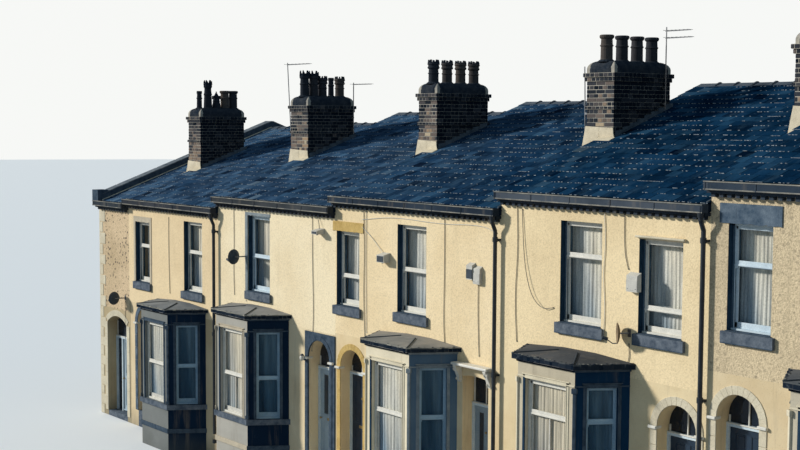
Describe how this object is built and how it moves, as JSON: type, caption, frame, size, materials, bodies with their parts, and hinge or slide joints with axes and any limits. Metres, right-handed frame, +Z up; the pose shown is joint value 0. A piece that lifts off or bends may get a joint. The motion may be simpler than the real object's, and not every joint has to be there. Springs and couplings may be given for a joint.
{
  "type": "terraced house row",
  "caption": "Stepped row of rendered two-storey terraced houses with canted bays, arched doorways, slate roofs and shared chimney stacks.",
  "frame": {"origin": "middle of the row's bounding box at the lowest ground, under the lower end's walls", "axes": "+X along the row, uphill, to the end with the plain party wall; -Y out of the front; +Z up"},
  "size_m": [25.73, 11.95, 10.085],
  "materials": {
    "painted_render": "painted roughcast render",
    "stone_walling": "coursed rubble",
    "slate": "weathered blue slate",
    "clay": "fired clay, sooted",
    "brick": "sooted brick",
    "dressed_stone": "dressed stone",
    "gutter_paint": "weathered paint",
    "pipe_iron": "painted iron",
    "lead": "sheet lead on stone slab, lichen",
    "joinery_paint": "gloss paint",
    "window_glass": "clear",
    "door_paint": "gloss paint",
    "floor_boards": "boards",
    "fixture_plastic": "satin",
    "aerial_metal": "weathered"
  },
  "bodies": {
    "row": {"aerials": "aerial_metal", "back_walls": "stone_walling", "bay_fronts": "painted_render", "bay_left_cants": "painted_render", "bay_right_cants": "painted_render", "bay_roofs": "lead", "bay_sill_cants": "dressed_stone", "bay_sill_fronts": "dressed_stone", "chimney_pots": "clay", "chimney_stacks": "brick", "door_consoles": "dressed_stone", "door_heads": "painted_render", "door_posts": "joinery_paint", "door_surround": "dressed_stone", "door_transoms": "joinery_paint", "doorsteps": "dressed_stone", "downpipes": "pipe_iron", "eaves_courses": "dressed_stone", "end_wall": "stone_walling", "fanlights": "window_glass", "fixed_doors": "door_paint", "front_glass": "window_glass", "front_gutters": "gutter_paint", "front_piers": "painted_render", "front_sashes": "joinery_paint", "front_upper_a": "painted_render", "front_upper_b": "painted_render", "front_upper_c": "painted_render", "front_upper_d": "painted_render", "front_upper_e": "painted_render", "front_upper_f": "painted_render", "gable_coping": "dressed_stone", "gable_wall": "stone_walling", "ground_floors": "floor_boards", "party_walls": "stone_walling", "rear_glass": "window_glass", "rear_gutters": "gutter_paint", "rear_sashes": "joinery_paint", "ridge_tiles": "clay", "roof_a": "slate", "roof_b": "slate", "roof_c": "slate", "roof_d": "slate", "roof_e": "slate", "roof_f": "slate", "satellite_dishes": "fixture_plastic", "stack_aprons": "lead", "upper_floors": "floor_boards", "wall_boxes": "fixture_plastic", "window_sills": "dressed_stone"},
    "door_a": {"door_a": "door_paint"},
    "door_b": {"door_b": "door_paint"},
    "door_c": {"door_c": "door_paint"},
    "door_d_left": {"door_d_left": "door_paint"},
    "door_d_right": {"door_d_right": "door_paint"}
  },
  "joints": [
    {"name": "door_a_hinge", "type": "hinge", "parent": "row", "child": "door_a", "pos_m": [-11.3025, -4.761, 0.148], "axis": [0, 0, -1], "range_deg": [0, 90]},
    {"name": "door_b_hinge", "type": "hinge", "parent": "row", "child": "door_b", "pos_m": [-10.5825, -4.761, 0.438], "axis": [0, 0, 1], "range_deg": [0, 90]},
    {"name": "door_c_hinge", "type": "hinge", "parent": "row", "child": "door_c", "pos_m": [-1.9125, -4.761, 0.728], "axis": [0, 0, -1], "range_deg": [0, 90]},
    {"name": "door_d_left_hinge", "type": "hinge", "parent": "row", "child": "door_d_left", "pos_m": [-1.4475, -4.761, 0.778], "axis": [0, 0, 1], "range_deg": [0, 90]},
    {"name": "door_d_right_hinge", "type": "hinge", "parent": "row", "child": "door_d_right", "pos_m": [3.0825, -4.761, 0.778], "axis": [0, 0, -1], "range_deg": [0, 90]}
  ]
}
